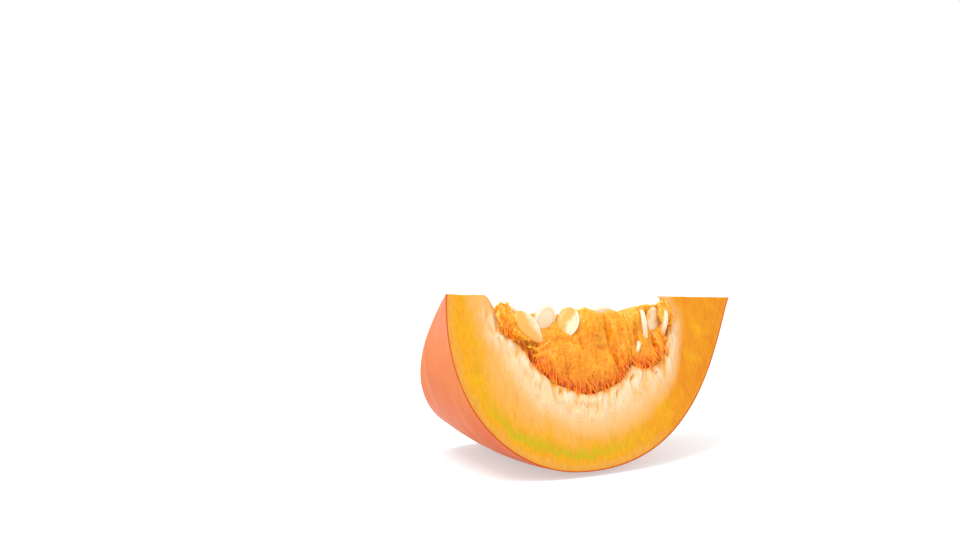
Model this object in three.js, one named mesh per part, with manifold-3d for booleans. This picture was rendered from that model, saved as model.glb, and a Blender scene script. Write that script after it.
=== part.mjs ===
// A slice of a large winter pumpkin: a sixth of the fruit, cut from end to end, with
// the stringy pulp and the seeds still in its hollow. It lies on its rind.
//
// The fruit's own axis runs along X, with the blossom end at -X and the stem end at +X.
// The two cut faces meet on that axis, in the slice's top edge. The front cut face looks
// towards -Y and the rear one towards +Y. Units are millimetres and +Z is up. The origin
// is on the resting surface, under the middle of the slice's bounding box.

import * as THREE from 'three';
import { mergeVertices } from 'three/addons/utils/BufferGeometryUtils.js';
import Module from 'manifold-3d';

const wasm = await Module();
wasm.setup();

const { degToRad } = THREE.MathUtils;
const point = (x, y) => new THREE.Vector2(x, y);

// ---- driving dimensions, in millimetres and degrees ----

// The rind's outline on a cut face. Along the axis, 0 is where the fruit is widest.
const RIND_RADIUS = 105.5; // axis to rind at the widest place
const BLOSSOM_REACH = 63; // widest place to the blossom end, along the axis
const BLOSSOM_BULGE = 15; // how far the blossom end's curve is drawn out past its end
const BLOSSOM_RISE = 75; // how far from the axis the blossom end's curve is drawn out
const BLOSSOM_SHOULDER = 35; // how far the widest place's curve is drawn to the blossom end
const STEM_REACH = 121.5; // widest place to the stem end, along the axis
const STEM_TAPER = 37; // how far the taper at the stem end is drawn out
const STEM_TAPER_ANGLE = 62; // angle of that taper to the axis
const STEM_SHOULDER = 78; // how far the widest place's curve is drawn to the stem end

// The cuts, and how the slice lies
const WEDGE_ANGLE = 60; // between the two cut faces
const RIND_SINK = 0.095; // share of its radius that the slice loses midway between the cuts
const ROCK_ANGLE = 4.6; // how far the stem end tips down
const REST_DEPTH = 0.8; // rind pressed flat by the slice's weight

// The flesh round the seed hollow
const WALL_BLOSSOM = 28; // at the blossom end, along the axis
const WALL_STEM = 42; // at the stem end, along the axis
const WALL_BELLY = 45.5; // under the deepest part of the hollow

// The pulp
const PULP_TOP = 9; // top edge of the slice down to the pulp
const PULP_SINK_ANGLE = 0.9; // angle between each cut face and the pulp's own face
const GAP = 0.3; // clearance between pieces that touch

// The seeds
const SEED_LENGTH = 22;
const SEED_WIDTH = 13.4;
const SEED_THICKNESS = 3.6;
const SEED_RIM_WIDTH = 1.7; // the slope from the seed's edge to its flat side
const SEED_RIM_HEIGHT = 1.1; // how much thickness that slope takes up on each side

// How finely the curves are stepped
const RIND_STEPS = 22; // along each half of the rind's outline
const BOWL_STEPS = 30; // along the wide bowl of the hollow
const SMALL_BOWL_STEPS = 16; // along the small bowl
const PULP_TOP_STEPS = 6; // along the pulp's top
const SWEEP_STEPS = 12; // from one cut face to the other
const SEED_STEPS = 4; // along each quarter of a seed's edge

// ---- shared geometry ----

const WEDGE_HALF = degToRad(WEDGE_ANGLE / 2);
const HOLLOW_START = WALL_BLOSSOM - BLOSSOM_REACH;
const HOLLOW_END = STEM_REACH - WALL_STEM;
const HOLLOW_LENGTH = HOLLOW_END - HOLLOW_START;
const HOLLOW_DEPTH = RIND_RADIUS - WALL_BELLY;

// The radius at a place between the rear cut (-1) and the front cut (+1), as a share of
// the radius on the cut faces.
const radiusShare = (across) => 1 - RIND_SINK * (1 - across * across);

// Joins a geometry's doubled corners and turns it into a solid. Quads that lie on the
// axis have no area, and are left out.
function toSolid(source) {
  const geometry = source.clone();
  geometry.deleteAttribute('normal');
  geometry.deleteAttribute('uv');
  const merged = mergeVertices(geometry, 1e-4);
  const index = Array.from(merged.index.array);
  const faces = [];
  for (let i = 0; i < index.length; i += 3) {
    const [a, b, c] = index.slice(i, i + 3);
    if (a !== b && b !== c && c !== a) faces.push(a, b, c);
  }
  return new wasm.Manifold(new wasm.Mesh({
    numProp: 3,
    vertProperties: Float32Array.from(merged.getAttribute('position').array),
    triVerts: Uint32Array.from(faces),
  }));
}

function toGeometry(solid) {
  const mesh = solid.getMesh();
  const geometry = new THREE.BufferGeometry();
  geometry.setAttribute('position', new THREE.BufferAttribute(mesh.vertProperties, 3));
  geometry.setIndex(new THREE.BufferAttribute(mesh.triVerts, 1));
  geometry.computeVertexNormals();
  return geometry;
}

// Sweeps an outline round the axis, from the front cut to the rear one. In the outline, x
// runs along the axis and y away from it.
function sweepRoundAxis(outline, sink = 0) {
  const geometry = new THREE.ExtrudeGeometry(new THREE.Shape(outline), {
    depth: 2,
    steps: SWEEP_STEPS,
    bevelEnabled: false,
  });
  const position = geometry.getAttribute('position');
  for (let i = 0; i < position.count; i += 1) {
    const across = (1 - position.getZ(i)) * (1 - sink / WEDGE_HALF);
    const radius = position.getY(i) * radiusShare(across);
    const angle = across * WEDGE_HALF;
    position.setXYZ(i, position.getX(i), -radius * Math.sin(angle), -radius * Math.cos(angle));
  }
  return geometry;
}

// ---- outlines ----

// The rind from the blossom end to the stem end: blunt at one end, tapered at the other.
function rindOutline() {
  const taper = degToRad(STEM_TAPER_ANGLE);
  const blossomSide = new THREE.CubicBezierCurve(
    point(-BLOSSOM_REACH, 0),
    point(-BLOSSOM_REACH - BLOSSOM_BULGE, BLOSSOM_RISE),
    point(-BLOSSOM_SHOULDER, RIND_RADIUS),
    point(0, RIND_RADIUS),
  );
  const stemSide = new THREE.CubicBezierCurve(
    point(0, RIND_RADIUS),
    point(STEM_SHOULDER, RIND_RADIUS),
    point(STEM_REACH - STEM_TAPER * Math.cos(taper), STEM_TAPER * Math.sin(taper)),
    point(STEM_REACH, 0),
  );
  return [...blossomSide.getSpacedPoints(RIND_STEPS), ...stemSide.getSpacedPoints(RIND_STEPS).slice(1)];
}

// The hollow from the blossom end to the stem end, as shares of its length and depth: a
// wide bowl, a ridge, then a small bowl that runs back under the stem end's top edge.
const BOWL = [[0, 0], [0.01, 0.2], [0.03, 0.37], [0.118, 0.53], [0.18, 0.72], [0.28, 0.89],
  [0.393, 0.98], [0.459, 1], [0.542, 0.96], [0.646, 0.87], [0.7, 0.77], [0.73, 0.71]];
const SMALL_BOWL = [[0.73, 0.71], [0.79, 0.742], [0.847, 0.72], [0.9, 0.66], [0.95, 0.49],
  [0.98, 0.31], [0.998, 0.15], [0.968, 0.06], [0.91, 0]];

function hollowCurve(shares) {
  return new THREE.SplineCurve(shares.map(([along, deep]) => (
    point(HOLLOW_START + along * HOLLOW_LENGTH, deep * HOLLOW_DEPTH))));
}

// The same stretch of the hollow, moved in by the clearance, as far up as the pulp's top.
function pulpUnderside(shares, steps) {
  const curve = hollowCurve(shares);
  const places = [];
  for (let i = 0; i <= steps; i += 1) {
    const place = curve.getPointAt(i / steps);
    const along = curve.getTangentAt(i / steps);
    const inward = point(along.y, -along.x).multiplyScalar(GAP);
    places.push(place.add(inward));
  }
  return upToPulpTop(places);
}

// The places below the pulp's top, and at each end the one where their line crosses it.
function upToPulpTop(places) {
  const kept = [];
  places.forEach((place, i) => {
    const before = places[i - 1];
    if (before && (before.y - PULP_TOP) * (place.y - PULP_TOP) < 0) {
      kept.push(before.clone().lerp(place, (PULP_TOP - before.y) / (place.y - before.y)));
    }
    if (place.y >= PULP_TOP) kept.push(place);
  });
  return kept;
}

// ---- the pieces ----

// Flesh and rind in one: the outline runs along the rind, then back round the hollow.
function fleshSolid() {
  const hollow = [
    ...hollowCurve(BOWL).getSpacedPoints(BOWL_STEPS),
    ...hollowCurve(SMALL_BOWL).getSpacedPoints(SMALL_BOWL_STEPS).slice(1),
  ];
  return toSolid(sweepRoundAxis([...rindOutline(), ...hollow.reverse()]));
}

// One lobe of the pulp. Its outline runs along the hollow, then back along the pulp's top.
function pulpSolid(shares, steps) {
  const under = pulpUnderside(shares, steps);
  const [last, first] = [under[under.length - 1], under[0]];
  const top = new THREE.LineCurve(point(last.x, PULP_TOP), point(first.x, PULP_TOP));
  const outline = [...under, ...top.getSpacedPoints(PULP_TOP_STEPS)];
  return toSolid(sweepRoundAxis(outline, degToRad(PULP_SINK_ANGLE)));
}

// A seed lies in its own XY plane, with its pointed end at -Y. The margin makes it larger
// all round, for the pocket that it sits in.
function seedGeometry(size, margin = 0) {
  const length = SEED_LENGTH * size + 2 * margin;
  const width = SEED_WIDTH * size + 2 * margin;
  const thickness = SEED_THICKNESS * size + 2 * margin;
  const outline = new THREE.Shape();
  outline.moveTo(0, -length / 2);
  outline.bezierCurveTo(width * 0.26, -length * 0.46, width / 2, -length * 0.18, width / 2, length * 0.08);
  outline.bezierCurveTo(width / 2, length * 0.33, width * 0.28, length / 2, 0, length / 2);
  outline.bezierCurveTo(-width * 0.28, length / 2, -width / 2, length * 0.33, -width / 2, length * 0.08);
  outline.bezierCurveTo(-width / 2, -length * 0.18, -width * 0.26, -length * 0.46, 0, -length / 2);
  const geometry = new THREE.ExtrudeGeometry(outline, {
    depth: thickness - 2 * SEED_RIM_HEIGHT,
    curveSegments: SEED_STEPS,
    bevelThickness: SEED_RIM_HEIGHT,
    bevelSize: SEED_RIM_WIDTH,
    bevelOffset: -SEED_RIM_WIDTH,
    bevelSegments: 2,
  });
  geometry.translate(0, 0, SEED_RIM_HEIGHT - thickness / 2);
  return geometry;
}

// Where each seed lies. along: from the nearer end of the hollow. deep: from the axis.
// across: from the rear cut (-1) to the front cut (+1). Its pointed end is down. tilt: its
// top towards the blossom end. lean: its top towards the front. turn: about its length.
const SEEDS = [
  { along: HOLLOW_START + 20.5, deep: 20.5, across: 0.9, tilt: 37, lean: 4, turn: 14, size: 1.08 },
  { along: HOLLOW_START + 33, deep: 17.5, across: 0.2, tilt: -30, lean: 0, turn: 8, size: 1.0 },
  { along: HOLLOW_START + 46.5, deep: 18, across: 0.72, tilt: -20, lean: 0, turn: -28, size: 0.95 },
  { along: HOLLOW_START + 69, deep: 14, across: 0.12, tilt: -80, lean: 0, turn: 12, size: 0.95 },
  { along: HOLLOW_END - 19.2, deep: 19.5, across: 0.82, tilt: 1, lean: 0, turn: 70, size: 0.95 },
  { along: HOLLOW_END - 11, deep: 17.5, across: 0.45, tilt: -8, lean: 0, turn: 24, size: 0.88 },
  { along: HOLLOW_END - 5, deep: 16.8, across: 0.82, tilt: -14, lean: 0, turn: 76, size: 0.76 },
  { along: HOLLOW_END - 25.5, deep: 34.5, across: 0.46, tilt: 0, lean: 78, turn: 66, size: 0.88 },
  { along: HOLLOW_START + 16.5, deep: 19.5, across: -0.72, tilt: 22, lean: -6, turn: -35, size: 1.05 },
  { along: HOLLOW_START + 35.5, deep: 21, across: -0.84, tilt: -24, lean: 0, turn: 14, size: 1.0 },
  { along: HOLLOW_START + 50, deep: 20, across: -0.72, tilt: 14, lean: 0, turn: 70, size: 0.95 },
  { along: HOLLOW_START + 64, deep: 26, across: -0.8, tilt: -40, lean: 0, turn: 12, size: 1.05 },
  { along: HOLLOW_START + 80.5, deep: 21, across: -0.76, tilt: 8, lean: 0, turn: -30, size: 0.95 },
  { along: HOLLOW_END - 13.5, deep: 20, across: -0.7, tilt: -16, lean: 0, turn: 22, size: 0.95 },
];

// Puts a seed on its seat in the slice, with the seat turned to face the front cut.
function placeSeed(mesh, { along, deep, across, tilt, lean, turn }) {
  const angle = across * WEDGE_HALF;
  const radius = deep * radiusShare(across);
  const seat = new THREE.Group();
  seat.position.set(along, -radius * Math.sin(angle), -radius * Math.cos(angle));
  seat.rotation.x = Math.PI / 2 - angle;
  mesh.rotation.set(degToRad(lean), degToRad(turn), degToRad(tilt), 'ZXY');
  seat.add(mesh);
  return seat;
}

// Cuts the pocket that each seed sits in.
function withPockets(solid, seeds) {
  let cut = solid;
  seeds.forEach((mesh, i) => {
    const pocket = seedGeometry(SEEDS[i].size, GAP);
    pocket.applyMatrix4(mesh.matrixWorld);
    cut = cut.subtract(toSolid(pocket));
  });
  return cut;
}

// Presses the rind flat along the slice's lowest part.
function withRestPatch(solid, tipped) {
  const corners = toGeometry(solid).applyMatrix4(tipped);
  corners.computeBoundingBox();
  const { min, max } = corners.boundingBox;
  const block = new THREE.BoxGeometry(2 * (max.x - min.x), 2 * (max.y - min.y), 2 * REST_DEPTH);
  block.translate(0, 0, min.z);
  block.applyMatrix4(tipped.clone().invert());
  return solid.subtract(toSolid(block));
}

// ---- the slice ----

const fleshMaterial = new THREE.MeshStandardMaterial({ color: '#f0a23c', roughness: 0.55 });
const pulpMaterial = new THREE.MeshStandardMaterial({ color: '#e8820e', roughness: 0.3 });
const seedMaterial = new THREE.MeshStandardMaterial({ color: '#f6e7cd', roughness: 0.45 });

function named(name, geometry, material) {
  const mesh = new THREE.Mesh(geometry, material.clone());
  mesh.name = name;
  return mesh;
}

const slice = new THREE.Group();

const seeds = SEEDS.map((place, i) => {
  const number = String(i + 1).padStart(2, '0');
  const mesh = named(`seed_${number}`, seedGeometry(place.size), seedMaterial);
  slice.add(placeSeed(mesh, place));
  return mesh;
});
slice.updateMatrixWorld(true);

const tipped = new THREE.Matrix4().makeRotationY(degToRad(ROCK_ANGLE));
const flesh = withRestPatch(fleshSolid(), tipped);
const mainPulp = withPockets(pulpSolid(BOWL, BOWL_STEPS), seeds);
const stemPulp = withPockets(pulpSolid(SMALL_BOWL, SMALL_BOWL_STEPS), seeds);
slice.add(named('flesh_and_rind', toGeometry(flesh), fleshMaterial));
slice.add(named('pulp_main', toGeometry(mainPulp), pulpMaterial));
slice.add(named('pulp_stem_end', toGeometry(stemPulp), pulpMaterial));

// Tips the slice the way it rests, and stands it on the origin.
slice.rotation.y = degToRad(ROCK_ANGLE);
const extent = new THREE.Box3().setFromObject(slice, true);
const middle = extent.getCenter(new THREE.Vector3());
slice.position.set(-middle.x, -middle.y, -extent.min.z);

const part = new THREE.Group();
part.add(slice);

export default part;
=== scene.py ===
"""A slice of a large winter pumpkin, lying on its rind, with its pulp and seeds.

Units are metres and +Z is up. The fruit's own axis runs from the blossom end at -X to the
stem end at +X, and the two cut faces meet on it in the slice's top edge. Shapes are first
laid out in the fruit's own frame: x along the axis from the widest place, a radius away
from the axis, and a place across the slice from the rear cut (-1) to the front cut (+1).
"""

import math

import bmesh
import bpy
import numpy as np
from mathutils import Matrix, Vector, noise


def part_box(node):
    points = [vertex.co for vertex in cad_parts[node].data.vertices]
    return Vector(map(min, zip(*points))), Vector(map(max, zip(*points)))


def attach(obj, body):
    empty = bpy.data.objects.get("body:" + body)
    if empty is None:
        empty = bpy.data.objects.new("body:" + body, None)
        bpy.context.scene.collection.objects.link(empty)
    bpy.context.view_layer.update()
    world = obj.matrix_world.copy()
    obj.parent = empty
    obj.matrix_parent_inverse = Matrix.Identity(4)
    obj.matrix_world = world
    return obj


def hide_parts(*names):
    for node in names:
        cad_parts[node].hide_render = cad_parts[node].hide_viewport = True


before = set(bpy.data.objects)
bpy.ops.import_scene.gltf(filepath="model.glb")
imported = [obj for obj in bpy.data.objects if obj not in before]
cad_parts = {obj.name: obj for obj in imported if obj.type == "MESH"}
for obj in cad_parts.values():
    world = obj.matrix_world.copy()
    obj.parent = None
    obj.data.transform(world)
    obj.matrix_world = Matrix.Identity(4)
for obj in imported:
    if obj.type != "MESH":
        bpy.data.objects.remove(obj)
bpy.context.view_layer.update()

MM = 0.001
MERGE_DISTANCE = 1e-6
BATCH = 4000

# ---- the fruit, the same sizes as the frame's own parts ----

RIND_RADIUS = 105.5 * MM
BLOSSOM_REACH = 63 * MM
BLOSSOM_BULGE = 15 * MM
BLOSSOM_RISE = 75 * MM
BLOSSOM_SHOULDER = 35 * MM
STEM_REACH = 121.5 * MM
STEM_TAPER = 37 * MM
STEM_TAPER_ANGLE = math.radians(62)
STEM_SHOULDER = 78 * MM
WEDGE_HALF = math.radians(30)
RIND_SINK = 0.095
ROCK_ANGLE = math.radians(4.6)
WALL_BLOSSOM = 28 * MM
WALL_STEM = 42 * MM
WALL_BELLY = 45.5 * MM
PULP_TOP = 9 * MM

HOLLOW_START = WALL_BLOSSOM - BLOSSOM_REACH
HOLLOW_END = STEM_REACH - WALL_STEM
HOLLOW_LENGTH = HOLLOW_END - HOLLOW_START
HOLLOW_DEPTH = RIND_RADIUS - WALL_BELLY

# The hollow's outline as shares of its length and depth: a wide bowl and a small one.
BOWL = [(0, 0), (0.01, 0.2), (0.03, 0.37), (0.118, 0.53), (0.18, 0.72), (0.28, 0.89),
        (0.393, 0.98), (0.459, 1), (0.542, 0.96), (0.646, 0.87), (0.7, 0.77), (0.73, 0.71)]
SMALL_BOWL = [(0.73, 0.71), (0.79, 0.742), (0.847, 0.72), (0.9, 0.66), (0.95, 0.49),
              (0.98, 0.31), (0.998, 0.15), (0.968, 0.06), (0.91, 0)]

# ---- the camera and its view ----

CAMERA_AZIMUTH = math.radians(-28.5)
CAMERA_ELEVATION = math.radians(9)
CAMERA_DISTANCE = 1.3
CAMERA_PAN = math.radians(-25.64)
CAMERA_TILT = math.radians(8.375)
CAMERA_LENS = 85


# ---- curves ----

def bezier(start, pull, push, end, count):
    t = np.linspace(0, 1, count)[:, None]
    a, b, c, d = (np.array(p, float) for p in (start, pull, push, end))
    return (1 - t) ** 3 * a + 3 * (1 - t) ** 2 * t * b + 3 * (1 - t) * t ** 2 * c + t ** 3 * d


def evenly(points, count):
    """The same line with its points at even distances."""
    points = np.asarray(points, float)
    run = np.r_[0, np.cumsum(np.linalg.norm(np.diff(points, axis=0), axis=1))]
    places = np.linspace(0, run[-1], count)
    return np.stack([np.interp(places, run, points[:, k]) for k in range(points.shape[1])], 1)


def smooth_line(points, count):
    """A Catmull-Rom spline through the points."""
    points = np.asarray(points, float)
    padded = np.vstack([points[:1], points, points[-1:]])
    line = []
    for i in range(len(points) - 1):
        p0, p1, p2, p3 = padded[i:i + 4]
        t = np.linspace(0, 1, 24, endpoint=False)[:, None]
        line.append(0.5 * (2 * p1 + (p2 - p0) * t + (2 * p0 - 5 * p1 + 4 * p2 - p3) * t ** 2
                           + (3 * p1 - p0 - 3 * p2 + p3) * t ** 3))
    return evenly(np.vstack(line + [points[-1:]]), count)


def rind_line(count):
    blossom_side = bezier(
        (-BLOSSOM_REACH, 0), (-BLOSSOM_REACH - BLOSSOM_BULGE, BLOSSOM_RISE),
        (-BLOSSOM_SHOULDER, RIND_RADIUS), (0, RIND_RADIUS), 200)
    taper = (STEM_REACH - STEM_TAPER * math.cos(STEM_TAPER_ANGLE),
             STEM_TAPER * math.sin(STEM_TAPER_ANGLE))
    stem_side = bezier(
        (0, RIND_RADIUS), (STEM_SHOULDER, RIND_RADIUS), taper, (STEM_REACH, 0), 200)
    return evenly(np.vstack([blossom_side, stem_side[1:]]), count)


def hollow_part(shares):
    return smooth_line([(HOLLOW_START + along * HOLLOW_LENGTH, deep * HOLLOW_DEPTH)
                        for along, deep in shares], 400)


def hollow_line(count):
    return evenly(np.vstack([hollow_part(BOWL), hollow_part(SMALL_BOWL)[1:]]), count)


def distance_to_line(points, line):
    """How far each flat point is from a line, by its nearest stretch."""
    a, b = line[:-1], line[1:]
    step = b - a
    length2 = (step ** 2).sum(1) + 1e-18
    best = np.full(len(points), np.inf)
    for start in range(0, len(points), BATCH):
        p = points[start:start + BATCH, None]
        t = np.clip(((p - a) * step).sum(2) / length2, 0, 1)
        gap = np.linalg.norm(p - (a + t[..., None] * step), axis=2)
        best[start:start + BATCH] = gap.min(1)
    return best


# ---- noise and blending ----

def smoothstep(low, high, value):
    t = np.clip((np.asarray(value, float) - low) / (high - low), 0, 1)
    return t * t * (3 - 2 * t)


def falling(low, high, value):
    return 1 - smoothstep(low, high, value)


def grain(places, size, seed=0):
    """Soft noise from -1 to 1 at each place, where one bump is about size across."""
    shift = Vector((17.3 * seed, -9.1 * seed, 5.7 * seed))
    size = np.broadcast_to(size, (3,))
    return np.array([noise.noise(Vector(p) + shift) for p in np.asarray(places) / size])


def grain_vectors(places, size, seed):
    return np.stack([grain(places, size, seed + k) for k in range(3)], -1)


def rough(places, size, seed):
    """Soft noise with two finer layers on it."""
    return sum(grain(places, size / 2 ** k, seed + k) / 2 ** k for k in range(3)) / 1.4


# ---- from the fruit's own frame to the row's ----

def radius_share(across):
    return 1 - RIND_SINK * (1 - np.asarray(across) ** 2)


def swept(x, radius, across):
    """Places in the fruit's own frame."""
    x, radius, across = np.broadcast_arrays(x, radius, across)
    r = radius * radius_share(across)
    angle = across * WEDGE_HALF
    return np.stack([x, -r * np.sin(angle), -r * np.cos(angle)], -1)


def slice_matrix():
    """Tips the fruit's own frame the way the slice lies, and stands it where the frame does."""
    tip = Matrix.Rotation(ROCK_ANGLE, 4, "Y")
    rind = rind_line(400)
    outer = np.vstack([swept(rind[:, 0], rind[:, 1], a) for a in np.linspace(-1, 1, 41)])
    tipped = outer @ np.array(tip.to_3x3()).T
    low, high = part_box("flesh_and_rind")
    left = low.x - tipped[:, 0].min()
    top = high.z - (np.array(tip.to_3x3()) @ np.array([-BLOSSOM_REACH, 0, 0]))[2]
    return Matrix.Translation((left, 0, top)) @ tip


SLICE = slice_matrix()
SLICE_TURN = np.array(SLICE.to_3x3())
SLICE_PLACE = np.array(SLICE.translation)


def to_row(places):
    return np.asarray(places) @ SLICE_TURN.T + SLICE_PLACE


# ---- meshes ----

def add_layers(mesh, layers):
    """Gives each corner of a mesh named values or vectors for the materials to read."""
    for layer, values in layers.items():
        kind, key = ("FLOAT", "value") if values.ndim == 1 else ("FLOAT_VECTOR", "vector")
        mesh.attributes.new(layer, kind, "POINT").data.foreach_set(
            key, values.astype(np.float32).ravel())


def smooth_faces(mesh):
    mesh.polygons.foreach_set("use_smooth", [True] * len(mesh.polygons))


def mesh_piece(name, places, faces, materials, layers=None):
    mesh = bpy.data.meshes.new(name)
    mesh.from_pydata([tuple(p) for p in places], [], [tuple(int(i) for i in f) for f in faces])
    for material in materials:
        mesh.materials.append(material)
    add_layers(mesh, layers or {})
    smooth_faces(mesh)
    mesh.update()
    piece = bpy.data.objects.new(name, mesh)
    bpy.context.scene.collection.objects.link(piece)
    return piece


def bands(rows, count):
    """Faces between closed loops of corners that are laid out row by row."""
    start = np.arange(rows)[:, None] * count
    k = np.arange(count)[None]
    after = (k + 1) % count
    return np.stack([start + k, start + after, start + count + after, start + count + k],
                    -1).reshape(-1, 4)


def close_up(piece):
    """Merges doubled corners, drops faces with no area and fills what is left open."""
    shape = bmesh.new()
    shape.from_mesh(piece.data)
    bmesh.ops.remove_doubles(shape, verts=shape.verts, dist=MERGE_DISTANCE)
    bmesh.ops.dissolve_degenerate(shape, edges=shape.edges, dist=MERGE_DISTANCE)
    open_edges = [e for e in shape.edges if e.is_boundary]
    if open_edges:
        bmesh.ops.holes_fill(shape, edges=open_edges, sides=0)
    bmesh.ops.recalc_face_normals(shape, faces=shape.faces)
    shape.to_mesh(piece.data)
    shape.free()
    piece.data.update()


# ---- materials ----

def linear(hex_colour):
    """A hex sRGB colour as linear values."""
    parts = [int(hex_colour[i:i + 2], 16) / 255 for i in (1, 3, 5)]
    return tuple(v / 12.92 if v <= 0.04045 else ((v + 0.055) / 1.055) ** 2.4 for v in parts) + (1,)


def add(owner, kind, settings=None, **links):
    """Adds a node to a material or a node tree, with its settings and its links.

    A setting is for the node or one of its sockets, and stops are a ramp's places and hex
    colours. A link is a node, which gives its first output, or one output of a node. The
    link called _0 goes to socket 0.
    """
    tree = getattr(owner, "node_tree", owner)
    node = tree.nodes.new(kind if "Node" in kind else "ShaderNode" + kind)
    for key, value in (settings or {}).items():
        if key == "stops":
            colours = node.color_ramp.elements
            while len(colours) < len(value):
                colours.new(0.5)
            for element, (place, colour) in zip(colours, value):
                element.position, element.color = place, linear(colour)
        elif isinstance(key, int) or key in node.inputs:
            node.inputs[key].default_value = value
        else:
            setattr(node, key, value)
    for key, source in links.items():
        name = int(key[1:]) if key[1:].isdigit() else key.replace("_", " ")
        tree.links.new(getattr(source, "outputs", [source])[0], node.inputs[name])
    return node


def span(low, high, start=0.0, end=1.0):
    """Settings that carry low to start and high to end, and hold outside them."""
    return {"From Min": low, "From Max": high, "To Min": start, "To Max": end}


def bump_sizes(*sizes):
    """The scale of a pattern whose bumps are so many millimetres across."""
    scales = tuple(1000 / size for size in sizes)
    return scales if len(scales) > 1 else scales[0]


def new_material(name):
    material = bpy.data.materials.new(name)
    material.use_nodes = True
    material.node_tree.nodes.clear()
    return material


def finish_material(material, colour, bump=None, roughness=None, **settings):
    """Joins a colour, a bump and a roughness to the shader, and the shader to the output."""
    links = {"Base_Color": colour, "Normal": bump, "Roughness": roughness}
    shader = add(material, "BsdfPrincipled", {k.replace("_", " "): v for k, v in settings.items()},
                 **{key: source for key, source in links.items() if source})
    add(material, "OutputMaterial", Surface=shader)


# ---- flesh and rind ----

ALONG_STEPS = 430
FACE_STEPS = 74
HOLLOW_STEPS = 14
RIND_STEPS = 44
FRONT_OUT = np.array([0, -math.cos(WEDGE_HALF), math.sin(WEDGE_HALF)])
REAR_OUT = np.array([0, math.cos(WEDGE_HALF), math.sin(WEDGE_HALF)])


def face_shares():
    """Places from the rind (0) to the hollow (1), closest together at the torn hollow edge."""
    even = np.linspace(0, 1, FACE_STEPS + 1)
    return even + 0.16 * np.sin(math.pi * even) * even - 0.05 * np.sin(2 * math.pi * even)


def torn_face(along, down, gap, seed):
    """How far the cut face sinks: torn into ragged fibres by the hollow, nearly flat elsewhere. Its
    tone is more orange where the face sinks into pits, as painted shade.
    """
    zero = np.full_like(along, 3.1 * seed)
    flat = np.stack([along, down, zero * MM], -1)
    bent = along + 2.4 * MM * grain(flat, 8 * MM, 11) + 0.12 * down
    strings = np.stack([bent / (1.35 * MM), down / (8 * MM), zero], -1)
    clumps = np.stack([bent / (4.2 * MM), down / (8 * MM), zero], -1)
    lumps = np.stack([bent / (9 * MM), down / (11 * MM), zero], -1)
    reach = (8 + 16 * falling(55 * MM, 82 * MM, along)) * MM
    ragged = (1 - smoothstep(0, 1, gap / reach)) ** 1.2
    torn = (0.45 * grain(strings, 1) + 0.9 * grain(clumps, 1) + 0.9 * grain(lumps, 1, 5))
    pits = smoothstep(0.34, 0.62, grain(clumps, 1, 9)) * smoothstep(0, 2 * MM, gap)
    lip = (1 - smoothstep(0, 3.5 * MM, gap)) ** 2
    sink = MM * (1.25 * ragged * (torn + 0.5) + 0.8 * ragged * pits + 0.7 * lip)
    # Tone of the torn zone, more orange where it sinks deeper: painted shade over the fibres' own paler
    # tone.
    colour = ragged * (0.55 * grain(strings, 1) + 0.7 * grain(clumps, 1) + 0.55 * pits)
    return sink, colour


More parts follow.
